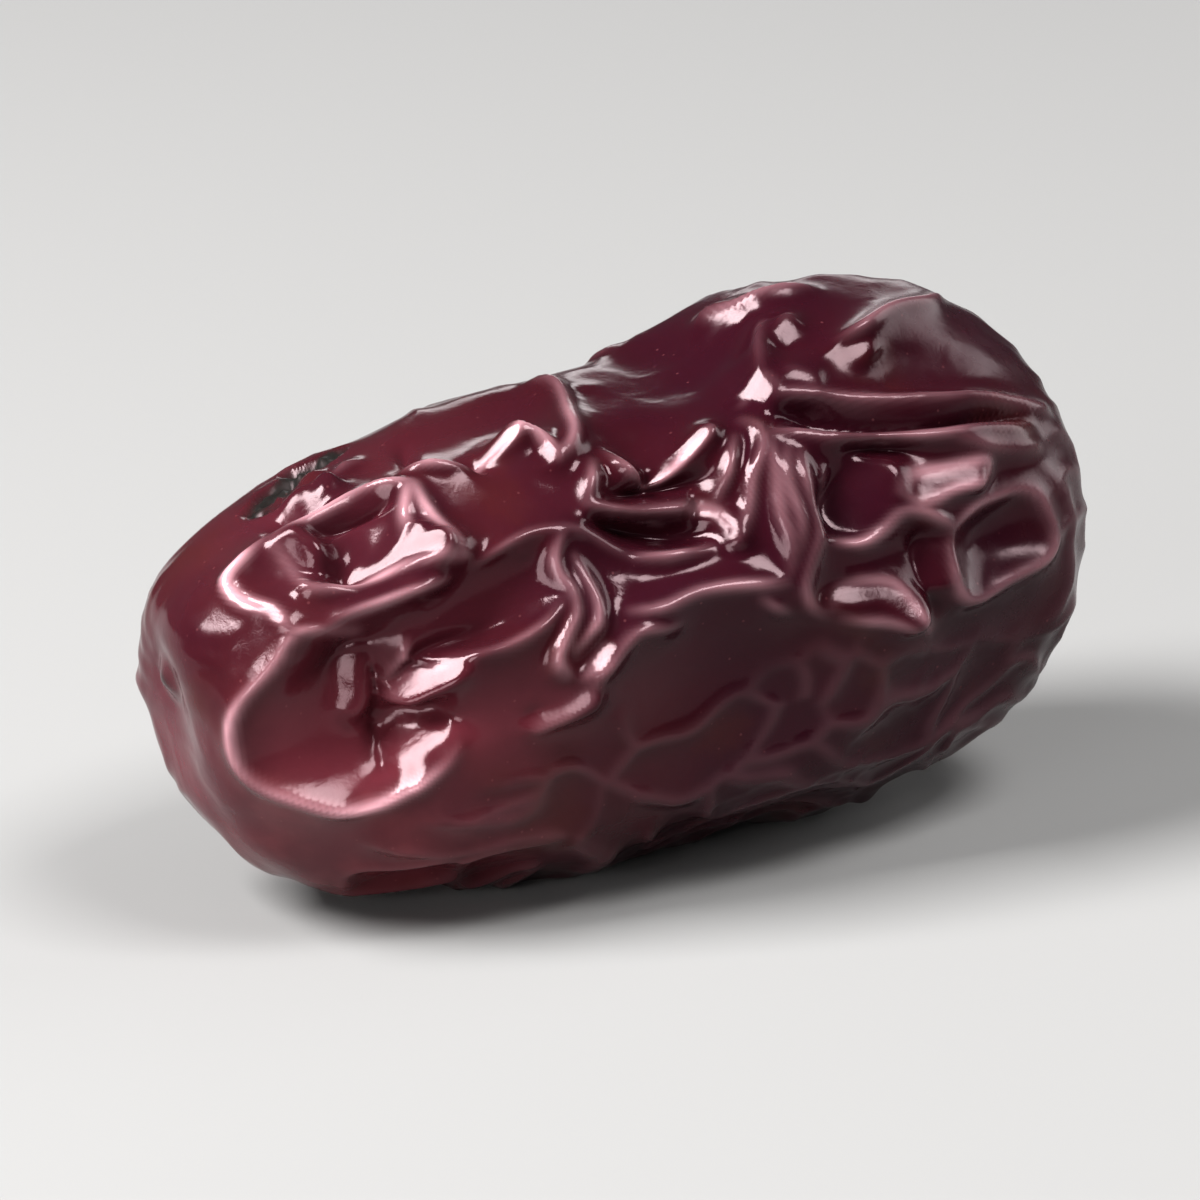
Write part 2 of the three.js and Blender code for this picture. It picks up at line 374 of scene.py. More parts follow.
SEED = 7
WAVES = 28  # how many plane waves are laid over one another
SHORTEST_WAVE, LONGEST_WAVE = 0.75, 1.5  # beside the wavelength that is asked for
rng = np.random.default_rng(SEED)


def drift(points, wavelength):
    """A soft random field over space, about -2 to 2, with hills and dips of about this wavelength."""
    directions = rng.normal(size=(WAVES, 3))
    directions /= np.linalg.norm(directions, axis=1, keepdims=True)
    lengths = wavelength * rng.uniform(SHORTEST_WAVE, LONGEST_WAVE, size=(WAVES, 1))
    phases = rng.uniform(0, 2 * math.pi, size=WAVES)
    waves = np.cos(points @ (2 * math.pi * directions / lengths).T + phases)
    return waves.sum(axis=1) / math.sqrt(WAVES / 2)


def drift_vector(points, wavelength, reach):
    """Three such fields as one vector field of this reach."""
    return reach * np.stack([drift(points, wavelength) for _ in range(3)], axis=1)


def eased(values, low, high):
    """0 below low, 1 above high, and a smooth way between."""
    share = np.clip((values - low) / (high - low), 0, 1)
    return share * share * (3 - 2 * share)


FOLD_TAPER = 1.2  # over how many millimetres a fold runs out at its end
TAPERED_END = 0.25  # the share of its strength that is left at the very end
FOLD_WAVER = 0.14  # how far a fold strays from its drawn line
fold_points, fold_rise, fold_firmness, fold_glow, fold_bead, fold_reach = [], [], [], [], [], []
for group in (BLOSSOM_END_FOLDS, BOX_FOLDS, FLAT_TOP_FOLDS, MIDDLE_FOLDS, LONG_FOLD, HOOK_FOLDS,
              WAIST_FOLDS, STIFF_FOLDS, RING_FOLDS, STEM_END_FOLDS, CRATER_FOLDS, CRATER_CREASES,
              FRONT_CREASES):
    for line in group["lines"]:
        places = thrown_on_flesh(smooth_line(line, LINE_STEP))
        if not len(places):
            continue
        steps = np.linalg.norm(np.diff(places, axis=0), axis=1)
        run = np.concatenate([[0], np.cumsum(steps)])
        to_end = np.minimum(run, run[-1] - run)
        fold_points.append(places)
        fold_rise.append(np.full(len(places), group["rise"]))
        taper = TAPERED_END + (1 - TAPERED_END) * np.clip(to_end / FOLD_TAPER, 0, 1)
        fold_firmness.append(group["firmness"] * taper)
        fold_glow.append(group["glow"] * taper)
        fold_bead.append(group["bead"] * taper)
        fold_reach.append(np.full(len(places), group["reach"]))
fold_points, fold_rise, fold_firmness, fold_glow, fold_bead, fold_reach = map(
    np.concatenate, (fold_points, fold_rise, fold_firmness, fold_glow, fold_bead, fold_reach))
waver = drift_vector(flesh, wavelength=5.0, reach=FOLD_WAVER)
waver -= np.sum(waver * flesh_out, axis=1)[:, None] * flesh_out
to_fold, which_fold = nearest_on(fold_points, flesh + waver)

# ---------------------------------------------------------------------------------------------------------
# Hidden folds: the creases of all the other sides. Skin that shrinks over soft flesh breaks into a net of
# cells, larger ones at the blossom end and smaller ones towards the stem, all longer than they are wide.
# Their borders rise as folds, but for the few that never do.
CELLS = 250
CELL_STRETCH = 0.5  # how short a cell's length counts beside its width
BLOSSOM_CELL, STEM_CELL = 1.35, 0.8  # how large the cells are at the two ends, beside one another
CELL_VARIETY = 0.28  # how much their sizes differ from place to place
CELL_TRIES = 60  # places tried for each new cell, of which the emptiest is taken
CELLS_LOOKED_AT = 4  # how many of the nearest cells a place is measured to, its own among them
BORDER_SPREAD = 0.35  # how much of the draw lies between a missing border and a full one


def cell_borders(places, cells, sizes, stretch, open_share):
    """The distance in millimetres to the nearest borders between scattered cells, and how strong those
    borders are. Some are weak, or missing."""
    stretched = places * [stretch, 1, 1]
    chosen = [stretched[rng.integers(len(places))]]
    nearest = np.full(len(places), np.inf)
    for _ in range(cells - 1):
        nearest = np.minimum(nearest, np.linalg.norm(stretched - chosen[-1], axis=1))
        tried = rng.integers(len(places), size=CELL_TRIES)
        chosen.append(stretched[tried[np.argmax(nearest[tried] / sizes[tried])]])
    centres = np.array(chosen)
    tree = KDTree(cells)
    for number, centre in enumerate(centres):
        tree.insert(centre, number)
    tree.balance()
    found = [tree.find_n(place, CELLS_LOOKED_AT) for place in stretched]
    close = np.array([[number for _, number, _ in cell] for cell in found])
    strengths = rng.uniform(size=(cells, cells))
    strengths = np.maximum(strengths, strengths.T)
    strengths = eased(strengths, open_share, open_share + BORDER_SPREAD)
    own = centres[close[:, 0]]
    distances, borders = [], []
    for k in range(1, CELLS_LOOKED_AT):
        other = centres[close[:, k]]
        between = other - own
        length = np.linalg.norm(between, axis=1)
        nearer = np.sum((stretched - other) ** 2, axis=1) - np.sum((stretched - own) ** 2, axis=1)
        slope = np.linalg.norm(between / length[:, None] * [stretch, 1, 1], axis=1)
        distances.append(nearer / 2 / length / slope)
        borders.append(strengths[close[:, 0], close[:, k]])
    return np.stack(distances, 1), np.stack(borders, 1)


share_along = (flesh[:, 0] - flesh[:, 0].min()) / np.ptp(flesh[:, 0])
cell_size = BLOSSOM_CELL + (STEM_CELL - BLOSSOM_CELL) * share_along
cell_size = cell_size * np.exp(CELL_VARIETY * drift(flesh, wavelength=9))
wandering = flesh + drift_vector(flesh, wavelength=9, reach=0.9)
wandering = wandering + drift_vector(flesh, wavelength=3.5, reach=0.3)
border_distance, border_strength = cell_borders(wandering, CELLS, cell_size, CELL_STRETCH, open_share=0.28)

# The side towards the camera has its own folds, so the net of cells stays off it.
# Below the lower limit, a line on the board, the front is left to the cells, and so is the far stem end.
TURNED_AWAY, TURNED_TO = -0.15, 0.10  # how squarely the skin faces the camera where the two sides mix
LOWER_LIMIT = [(-20, -14), (-8, -9.4), (-3, -6.6), (0, -4.9), (3, -4.0), (6, -2.9), (9, -1.2), (19, -1.2)]
STEM_LIMIT = 17.8
LOWER_BLEND, STEM_BLEND = 0.8, 0.6  # how near to the two limits the cells and the drawn folds mix
TAUT_START, TAUT_END, TAUTNESS = 12.5, 17.0, 0.5  # towards the blossom end the skin stayed tauter
from_eye = flesh - board_eye
reach_to_board = -VIEW_DISTANCE / MM / (from_eye @ board_out)
board_places = board_eye + from_eye * reach_to_board[:, None] - board_centre
on_board_right, on_board_up = board_places @ board_right, board_places @ board_up
sight = -from_eye / np.linalg.norm(from_eye, axis=1, keepdims=True)
facing_camera = np.sum(flesh_out * sight, axis=1)
above_limit = on_board_up - np.interp(on_board_right, *zip(*LOWER_LIMIT))
drawn_side = eased(facing_camera, TURNED_AWAY, TURNED_TO) * eased(above_limit, -LOWER_BLEND, LOWER_BLEND)
drawn_side *= eased(STEM_LIMIT - on_board_right, -STEM_BLEND, STEM_BLEND)
cells_side = 1 - drawn_side
taut_end = 1 - TAUTNESS * eased(-flesh[:, 0], TAUT_START, TAUT_END)

# ---------------------------------------------------------------------------------------------------------
# Skin: the fruit's own thin tough hide, drawn down towards the flesh between its folds. Each fold holds it
# up like a tent's ridge, so it hangs in smooth hollows from crest to crest, and here and there it is drawn
# flat between them.
CREST_WIDTH = 0.20
CREST_HOLD = 32.0  # how hard a crest of firmness 1 holds the skin
CREST_SLOPE = 1.0  # how steeply the skin falls away right beside a crest
CELL_RISE, CELL_RISE_DRIFT = 0.13, 0.09  # of the crests of the hidden sides
CELL_REACH = 1.0  # how far from a crest the skin still hangs from it, on the hidden sides
REACH_RUBS = 12
BEAD_WIDTH = 0.30  # of the bead of doubled skin along a crest, or the groove along a crease
BEAD_MEAN, BEAD_DRIFT, LEAST_BEAD, MOST_BEAD = 0.9, 0.25, 0.4, 1.5  # how the bead's height comes and goes
CELL_BEAD = 0.05
SKIN_RUBS = 2
FRONT_SINK = 0.80  # how deep the skin settles where no fold holds it, on the side with the drawn folds
CELL_SINK, CELL_SINK_DRIFT = 0.66, 0.16  # and on the other sides
LEAST_SINK = 0.03
TAUT_SHARE = 0.85  # how much of that depth is missing where the skin stayed taut
EDGE_WIDTH = 0.22  # how squarely the skin still faces the camera where it counts as the upper edge
EDGE_SINK_LOSS, EDGE_RISE_LOSS = 0.65, 0.60  # how much flatter the hollows and the folds are there
EDGE_START, EDGE_FULL = 2, 6  # how high up on the board that begins
LEFT_EDGE_START, LEFT_EDGE_FULL = 13, 16  # and how far out at the blossom end

# Places on the board where the skin has sunk deeper: right, up, how wide and how deep.
SUNK_PLACES = [
    (-9.2, -4.1, 3.1, 1.25),
    (-8.3, -5.2, 1.2, 0.30),
    (-9.0, 4.2, 1.6, 0.45),
    (5.0, 10.4, 0.9, 0.25),
    (8.4, 11.3, 1.0, 0.35),
    (11.6, 10.8, 1.4, 0.35),
    (-13.1, 1.5, 1.0, 0.45),
    (-4.2, 1.0, 2.8, 0.45),
    (-4.5, 8.0, 2.6, 0.3),
    (-3.2, -3.4, 2.8, 0.5),
    (2.2, 3.2, 2.4, 0.35),
    (1.7, 6.6, 1.6, 0.5),
    (3.4, 9.6, 2.2, 0.4),
    (3.5, -1.0, 2.6, 0.4),
    (11.0, 5.6, 2.0, 0.4),
    (15.6, 2.8, 1.4, 0.6),
    (11.5, 2.0, 1.8, 0.4),
    (-15.9, -7.8, 3.0, 0.8),
]
# Small knobs where folds meet, on the board: right, up, how wide and how high.
KNOBS = [
    (-6.2, 1.4, 0.40, 0.12),
    (-2.9, 2.5, 0.35, 0.12),
    (-0.5, 9.4, 0.60, 0.10),
    (-9.8, -4.4, 0.30, 0.14),
    (5.0, 10.2, 0.90, 0.20),
]
# Places on the board where the skin stayed taut: right, up and how wide.
TAUT_PLACES = [(-16.0, -1.5, 3.0), (-16.0, -6.5, 3.0), (-13.5, -9.5, 3.5)]

# Facets: where the skin is drawn flat. Each group says which way its facets face, as right and up on the
# board, and how firmly. Each line is one facet: how far it spreads to both sides, and where it runs.
BRIGHT_FACETS = dict(facing=(-0.39, 0.355), firmness=40.0, lines=[
    (0.28, [(-9.8, 1.75), (-8.8, 1.95), (-7.8, 2.2)]),
    (0.42, [(-7.6, 2.35), (-6.3, 2.5)]),
    (0.30, [(-7.3, 2.8), (-7.2, 3.1)]),
    (0.48, [(-7.5, -3.5), (-6.6, -2.8), (-5.7, -2.1)]),
    (0.52, [(-7.9, -5.5), (-7.2, -5.4), (-6.4, -4.9)]),
    (0.38, [(-7.3, -6.4), (-7.2, -5.9)]),
    (0.36, [(5.7, 8.9), (6.5, 8.9)]),
    (0.24, [(6.15, 9.2), (6.15, 9.5)]),
    (0.21, [(4.0, 4.15), (4.8, 3.95), (5.25, 3.5), (5.35, 3.1)]),
    (0.27, [(2.3, 5.45), (3.2, 6.3), (4.1, 7.1)]),
    (0.36, [(-12.1, 4.3), (-11.6, 4.7)]),
    (0.30, [(-11.1, 4.6), (-10.7, 4.9)]),
    (0.19, [(-14.45, 1.5), (-14.4, 1.1), (-13.8, 0.6), (-13.1, 0.3), (-12.5, -0.2)]),
    (0.30, [(0.25, -1.4), (0.0, -2.0)]),
    (0.28, [(-4.8, 6.45), (-3.4, 7.0)]),
    (0.30, [(-2.2, 6.6), (-1.9, 6.3)]),
])
HUMP_FACETS = dict(facing=(-0.39, 0.355), firmness=5.0, lines=[
    (0.36, [(4.2, 11.95), (5.2, 12.05)]),
])
SOFT_FACETS = dict(facing=(-0.29, -0.04), firmness=10.0, lines=[
    (0.62, [(-9.5, -1.4), (-9.5, -3.9)]),
    (0.55, [(-8.3, -1.3), (-8.1, -2.6)]),
    (0.55, [(-12.0, 2.7), (-11.6, 2.2)]),
    (0.30, [(-1.9, -4.5), (-1.1, -4.0), (-0.4, -3.4)]),
])
FRONT_FACETS = dict(facing=(0.24, 0.41), firmness=20.0, lines=[
    (0.52, [(12.6, 5.1), (14.3, 5.6)]),
    (0.45, [(9.7, 0.75), (11.3, 0.85), (12.2, 0.15)]),
    (0.36, [(9.5, 10.5), (10.5, 10.6)]),
    (0.30, [(7.2, 11.1), (7.3, 11.6)]),
    (0.24, [(7.6, 9.5), (8.3, 9.25)]),
])
DARK_FACETS = dict(facing=(-0.05, 0.24), firmness=20.0, lines=[
    (0.90, [(9.9, 4.2), (10.9, 5.2)]),
    (0.45, [(13.1, 2.6), (13.2, 1.4)]),
])
FACET_WAVER = 0.03  # how far a facet's skin strays from the way it faces
FACET_ROUNDS = 3
STEEPEST = 1.7  # the steepest that a facet may stand on the flesh
LEAST_FACING = 0.3  # how squarely at least a facet faces out of the flesh

cell_sink = CELL_SINK + CELL_SINK_DRIFT * drift(flesh, wavelength=7)
sink = FRONT_SINK * drawn_side + cells_side * cell_sink * taut_end
for right, up, width in TAUT_PLACES:
    centre = thrown_on_flesh([(right, up)])[0]
    sink = sink * (1 - TAUT_SHARE * np.exp(-(np.linalg.norm(flesh - centre, axis=1) / width) ** 4))
for right, up, width, depth in SUNK_PLACES:
    centre = thrown_on_flesh([(right, up)])[0]
    sink = sink + depth * np.exp(-(np.linalg.norm(flesh - centre, axis=1) / width) ** 2)
upper_edge = np.exp(-(facing_camera / EDGE_WIDTH) ** 2)
upper_edge *= np.maximum(
    eased(on_board_up, EDGE_START, EDGE_FULL), eased(-on_board_right, LEFT_EDGE_START, LEFT_EDGE_FULL))
sink = np.maximum(sink * (1 - EDGE_SINK_LOSS * upper_edge), LEAST_SINK)

MOST_ROUNDS = 400
SMALLEST_ERROR = 1e-12  # where the search for the skin's height may stop


def tent(height_held, hold, floor, reach, slope, slope_share):
    """The height of a skin that hangs from what holds it and settles on a soft floor. It takes the slope
    given to it, as far as its share there says. The height is found by conjugate gradients."""
    steps = flesh[around] - flesh[:, None]
    lengths = np.sum(steps**2, axis=2)
    own = around == np.arange(len(flesh))[:, None]
    area = lengths.sum(axis=1) / (~own).sum(axis=1)
    pull = np.where(own, 0, (area[around] + area[:, None]) / 2 / np.where(own, 1, lengths))
    pull = pull * (1 + (slope_share[around] + slope_share[:, None]) / 2)
    climb = np.sum((slope[around] + slope[:, None]) / 2 * steps, axis=2)
    stiff = area * (hold + 1 / reach**2)
    total = pull.sum(axis=1) + stiff

    def applied(height):
        return total * height - np.sum(pull * height[around], axis=1)

    height = np.array(floor)
    error = area * (hold * height_held + floor / reach**2) - np.sum(pull * climb, axis=1) - applied(height)
    ready = error / total
    step = ready.copy()
    size = error @ ready
    for _ in range(MOST_ROUNDS):
        change = applied(step)
        share = size / (step @ change)
        height += share * step
        error -= share * change
        ready = error / total
        new_size = error @ ready
        if new_size < SMALLEST_ERROR:
            break
        step = ready + new_size / size * step
        size = new_size
    return height


TINY = 1e-9  # keeps a division from failing
facet_facing = np.zeros_like(flesh)
facet_waver = drift_vector(flesh, wavelength=2.5, reach=FACET_WAVER)
facet_firmness = np.zeros(len(flesh))
on_facet = np.zeros(len(flesh))
for group in (SOFT_FACETS, FRONT_FACETS, DARK_FACETS, HUMP_FACETS, BRIGHT_FACETS):
    right, up = group["facing"]
    facing = board_right * right + board_up * up + board_out * math.sqrt(1 - right**2 - up**2)
    for width, line in group["lines"]:
        distance = nearest_on(thrown_on_flesh(smooth_line(line, LINE_STEP)), flesh)[0]
        share = np.exp(-(distance / width) ** 4)
        facet_facing += share[:, None] * (facing + facet_waver - facet_facing)
        facet_firmness = np.maximum(facet_firmness, group["firmness"] * share)
        on_facet = np.maximum(on_facet, share)


def tilt_from(base, facing):
    """How a height over a base surface has to slope there for the new surface to face as given."""
    return base - facing / np.maximum(np.sum(base * facing, axis=1), LEAST_FACING)[:, None]


def strongest(strengths, shares):
    """What the nearest borders of the cells add up to on the hidden sides: the strongest of them counts."""
    return (strengths * shares).max(axis=1) * cells_side


hand_strength = fold_firmness[which_fold] * (1 - on_facet)
hand_hold = hand_strength * np.exp(-(to_fold / CREST_WIDTH) ** 2)
cell_hold = strongest(border_strength, np.exp(-(border_distance / CREST_WIDTH) ** 2)) * taut_end
cell_rise = CELL_RISE + CELL_RISE_DRIFT * drift(flesh, wavelength=6)
hold = hand_hold + cell_hold
edge_rise = 1 - EDGE_RISE_LOSS * upper_edge
hand_slope = np.where(fold_bead[which_fold] > 0, CREST_SLOPE, -CREST_SLOPE)
hand_crest = fold_rise[which_fold] * edge_rise - hand_slope * to_fold
cell_crest = cell_rise * edge_rise - CREST_SLOPE * border_distance[:, 0]
held = (hand_hold * hand_crest + cell_hold * cell_crest) / np.maximum(hold, TINY)
reach = rubbed(drawn_side * fold_reach[which_fold] + cells_side * CELL_REACH, REACH_RUBS)
# A facet does not come out as steep as it was asked to, so what is missing is asked for again, twice.
facet_slope = np.zeros_like(flesh)
skin_out = flesh_out
for _ in range(FACET_ROUNDS):
    missing = tilt_from(flesh_out, facet_facing) - tilt_from(flesh_out, skin_out)
    facet_slope += on_facet[:, None] * missing
    steepness = np.linalg.norm(facet_slope, axis=1)
    facet_slope *= (np.minimum(steepness, STEEPEST) / np.maximum(steepness, TINY))[:, None]
    relief = tent(held, CREST_HOLD * hold, -sink, reach, facet_slope, facet_firmness)
    skin_out = outward(flesh + flesh_out * relief[:, None])
bead_share = np.clip(BEAD_MEAN + BEAD_DRIFT * drift(flesh, wavelength=5.0), LEAST_BEAD, MOST_BEAD)
hand_bead = fold_bead[which_fold] * (1 - on_facet) * np.exp(-(to_fold / BEAD_WIDTH) ** 2)
cell_bead = strongest(border_strength, np.exp(-(border_distance / BEAD_WIDTH) ** 2)) * taut_end
for right, up, width, height in KNOBS:
    centre = thrown_on_flesh([(right, up)])[0]
    relief += height * np.exp(-(np.linalg.norm(flesh - centre, axis=1) / width) ** 2)
relief = rubbed(relief + bead_share * (hand_bead + CELL_BEAD * cell_bead), SKIN_RUBS)

# ---------------------------------------------------------------------------------------------------------
# Fine creases: the small wrinkles inside the cells, and the soft dents of the whole skin. They are the last
# to form in the hide as it dries, most of all at the two ends, and the belly is pressed flat on the floor.
FINE_CELLS = 700
FINE_STRETCH = 0.8
FINE_WIDTH = 0.22
FINE_RISE = 0.05
FINE_RUBS = 2
LEAST_FINE = 0.25  # how much of their rise the fine creases keep between the two ends
FRONT_FINE = 0.4  # and how much on the side with the drawn folds
STEM_FINE_START, STEM_FINE_FULL = 0.25, 0.70  # as shares of the fruit's length
TIP_FINE_END = 0.09
DENT = 0.02

skin = flesh + flesh_out * relief[:, None]
fine_places = flesh + drift_vector(flesh, wavelength=3.0, reach=0.35)
fine_distance, fine_strength = cell_borders(
    fine_places, FINE_CELLS, np.ones(len(flesh)), FINE_STRETCH, open_share=0.45)
fine_crest = (fine_strength * np.exp(-(fine_distance / FINE_WIDTH) ** 2)).max(axis=1)
at_ends = np.maximum(
    eased(share_along, STEM_FINE_START, STEM_FINE_FULL), 1 - eased(share_along, 0, TIP_FINE_END))
fine_share = LEAST_FINE + (1 - LEAST_FINE) * at_ends
fine_share *= FINE_RISE * (FRONT_FINE + (1 - FRONT_FINE) * cells_side)
dents = DENT * drift(flesh, wavelength=2.6)
skin += flesh_out * (fine_share * rubbed(fine_crest, FINE_RUBS) + dents)[:, None]
skin[:, 2] = np.maximum(skin[:, 2], 0)

# ---------------------------------------------------------------------------------------------------------
# Ends and scab: the cork scar of the stalk at the bottom of its cavity, with the skin gathered round it,
# the small point that the flower left at the other end, and an old dark scab on the top near that end. All
# have grown on the fruit, so they are raised and sunk in its one skin, which becomes a mesh here.
STEM_HALF_START, STEM_HALF_FULL = 6, 12  # how far along the fruit the stem end is told from the other
AXIS_REACH = 1  # how near to the fruit's axis the ends of the flesh are looked for
GATHERS = 13  # how many small folds run into the stem cavity
GATHER_HEIGHT = 0.16
GATHER_MIDDLE, GATHER_REACH = 3.4, 2.0  # how far from the axis they are highest, and how far they spread
GATHER_WAVER = 0.25
SCAR_RADIUS = 1.3
SCAR_INNER, SCAR_OUTER = 0.8, 1.15  # between these shares of its radius the scar gives way to skin
SCAR_RISE = 0.35
SCAR_ROUGHNESS = 0.10
BLOSSOM_HEIGHT = 9
TIP_RADIUS = 0.6
TIP_RISE = 0.28
TIP_GROOVE = 0.08  # how deep the ring round the small point is
GROOVE_PLACE, GROOVE_WIDTH = 1.8, 0.45  # how far out it is beside the point's radius, and how wide
PUCKERS = 8  # how many soft folds run into the small point
PUCKER_HEIGHT = 0.05
PUCKER_MIDDLE, PUCKER_REACH = 3.4, 2.2
PUCKER_WAVER = 0.45
PUCKER_LOSS = 0.75  # how much weaker they are where the skin turns to the camera
PUCKER_TURN_START, PUCKER_TURN_END = -0.3, 0.2
SCAB_LINE = [(-13.4, 4.8), (-12.2, 5.8), (-10.8, 6.5)]  # on the board
SCAB_WIDTH = 0.95
SCAB_CORE = 0.6  # the share of its width that is all scab
SCAB_WAVER = 0.18
SCAB_DEPTH = 0.30
SCAB_CRUST = 0.12
SCAB_LUMPS = [  # on the board: right, up, how wide and how high
    (-12.1, 4.6, 0.60, 0.40),
    (-10.9, 4.7, 0.55, 0.32),
    (-11.3, 5.7, 0.50, 0.30),
    (-12.9, 4.9, 0.50, 0.30),
]
LUMP_CLEAN = 0.9  # how clean of scab a lump is


def end_of_flesh(side, height):
    """The furthest point of the flesh to one side, close to the fruit's axis at this height."""
    near_axis = np.hypot(flesh[:, 1], flesh[:, 2] - height) <= AXIS_REACH
    return flesh[np.argmax(np.where(near_axis, side * flesh[:, 0], -np.inf))]


def ring_share(distances, middle, reach):
    """1 on a ring this far out, fading to nothing over its reach to both sides."""
    return np.exp(-((distances - middle) / reach) ** 2)


stem_end = end_of_flesh(1, SPINE_HEIGHT)
stem_side = eased(flesh[:, 0], STEM_HALF_START, STEM_HALF_FULL)
from_stem = np.hypot(flesh[:, 1], flesh[:, 2] - stem_end[2])
stem_angle = np.arctan2(flesh[:, 1], flesh[:, 2] - stem_end[2])
stem_angle = stem_angle + GATHER_WAVER * drift(flesh, wavelength=5)
gathered = stem_side * ring_share(from_stem, GATHER_MIDDLE, GATHER_REACH)
scar = stem_side * (1 - eased(from_stem, SCAR_INNER * SCAR_RADIUS, SCAR_OUTER * SCAR_RADIUS))
scar_relief = scar * (SCAR_RISE + SCAR_ROUGHNESS * drift(flesh, wavelength=0.9))
skin += flesh_out * (gathered * GATHER_HEIGHT * np.cos(GATHERS * stem_angle))[:, None]
skin += flesh_out * scar_relief[:, None]

blossom_end = end_of_flesh(-1, BLOSSOM_HEIGHT)
from_tip = np.linalg.norm(flesh - blossom_end, axis=1)
tip = np.exp(-(from_tip / TIP_RADIUS) ** 2)
tip_groove = ring_share(from_tip, GROOVE_PLACE * TIP_RADIUS, GROOVE_WIDTH)
tip_angle = np.arctan2(flesh[:, 1], flesh[:, 2] - blossom_end[2])
tip_angle = tip_angle + PUCKER_WAVER * drift(flesh, wavelength=6)
puckered = ring_share(from_tip, PUCKER_MIDDLE, PUCKER_REACH)
puckered *= 1 - PUCKER_LOSS * eased(facing_camera, PUCKER_TURN_START, PUCKER_TURN_END)
tip_relief = TIP_RISE * tip - TIP_GROOVE * tip_groove
tip_relief = tip_relief + PUCKER_HEIGHT * puckered * np.cos(PUCKERS * tip_angle)
skin += flesh_out * tip_relief[:, None]

scab_points = thrown_on_flesh(smooth_line(SCAB_LINE, LINE_STEP))
from_scab = nearest_on(scab_points, flesh)[0] + SCAB_WAVER * drift(flesh, wavelength=1.6)
scab = 1 - eased(from_scab, SCAB_CORE * SCAB_WIDTH, SCAB_WIDTH)
skin += flesh_out * (scab * (SCAB_CRUST * drift(flesh, wavelength=0.8) - SCAB_DEPTH))[:, None]
for right, up, width, height in SCAB_LUMPS:
    centre = thrown_on_flesh([(right, up)])[0]
    lump = np.exp(-(np.linalg.norm(flesh - centre, axis=1) / width) ** 2)
    skin += flesh_out * (height * lump)[:, None]
    scab = scab * (1 - LUMP_CLEAN * lump)
skin[:, 2] = np.maximum(skin[:, 2], 0)

skin_mesh = bpy.data.meshes.new("jujube_skin")
skin_mesh.from_pydata((skin * MM).tolist(), [], faces.tolist())
skin_mesh.shade_smooth()
jujube_skin = bpy.data.objects.new("jujube_skin", skin_mesh)
bpy.context.scene.collection.objects.link(jujube_skin)


def keep_on_skin(name, values):
    """Stores one number a corner on the mesh, for the skin's material to read."""
    skin_mesh.attributes.new(name, "FLOAT", "POINT").data.foreach_set("value", values.astype(np.float32))


GLOW_FULL, GLOW_END = 0.06, 0.30  # how far from the middle of a drawn crest its pink is full, and ends
GLOW_MEAN, GLOW_DRIFT, LEAST_GLOW, MOST_GLOW = 0.8, 0.3, 0.3, 1.2  # how it comes and goes along the crest
CELL_GLOW = 0.06
CELL_GLOW_FULL, CELL_GLOW_END = 0.10, 0.45
GLOW_RUBS = 2
HOLLOW_START, HOLLOW_FULL = 0.1, 1.0  # how deep the skin has sunk where it counts as a hollow
# Between these heights the painted light of the belly fades into the painted shade of the top.
BELLY_HEIGHT, TOP_HEIGHT = 4, 15
TIP_STAIN = 0.6  # the dark share of the small point's radius

hand_glow = fold_glow[which_fold] * (1 - eased(to_fold, GLOW_FULL, GLOW_END))
hand_glow *= np.clip(GLOW_MEAN + GLOW_DRIFT * drift(flesh, wavelength=3.5), LEAST_GLOW, MOST_GLOW)
cell_glow = strongest(border_strength, 1 - eased(border_distance, CELL_GLOW_FULL, CELL_GLOW_END))
keep_on_skin("crest", rubbed(np.clip(hand_glow + CELL_GLOW * cell_glow, 0, 1), GLOW_RUBS))
# How deep the skin has sunk, for the painted shade and the painted light in the hollows.
keep_on_skin("hollow", eased(-relief, HOLLOW_START, HOLLOW_FULL))
keep_on_skin("along", share_along)
# How high the skin lies, which sets the painted light on the belly and the painted shade on top.
keep_on_skin("top", eased(flesh[:, 2], BELLY_HEIGHT, TOP_HEIGHT))
keep_on_skin("scar", scar)
keep_on_skin("scab", scab)
keep_on_skin("tip", np.exp(-(from_tip / (TIP_STAIN * TIP_RADIUS)) ** 2))

# ---------------------------------------------------------------------------------------------------------
# Skin finish: a thin glossy hide, dark wine red, redder at the blossom end, browner and blacker in patches
# and towards the stem end, and paler and pinker over a crest, partly for the stretched skin and partly as a
# painted sheen. Painted light and shade are laid in too: the blush is stronger on the belly than on top, the
# hollows are darkened, and towards the blossom end they are made lighter and redder. It has fine pale pores
# and a faint puckering, and it is duller at the stem end, on the scab and on the cork of the scar.
WINE = (0.032, 0.0045, 0.0075)
# The blossom end's redder tone, also laid on more strongly on the belly than on top as painted light and
# shade.
BLUSH_AND_PAINTED_LIGHT = (0.130, 0.0320, 0.0380)
# Dark purple for patches and towards the stem end, and also the painted shade in the hollows.
PURPLE_BLACK_AND_SHADE = (0.025, 0.0036, 0.0085)
# Painted light: a lighter, redder colour for the hollows at the blossom end, most on the belly.
PAINTED_LIGHT_RED = (0.150, 0.0300, 0.0420)
RUST = (0.048, 0.0095, 0.0065)
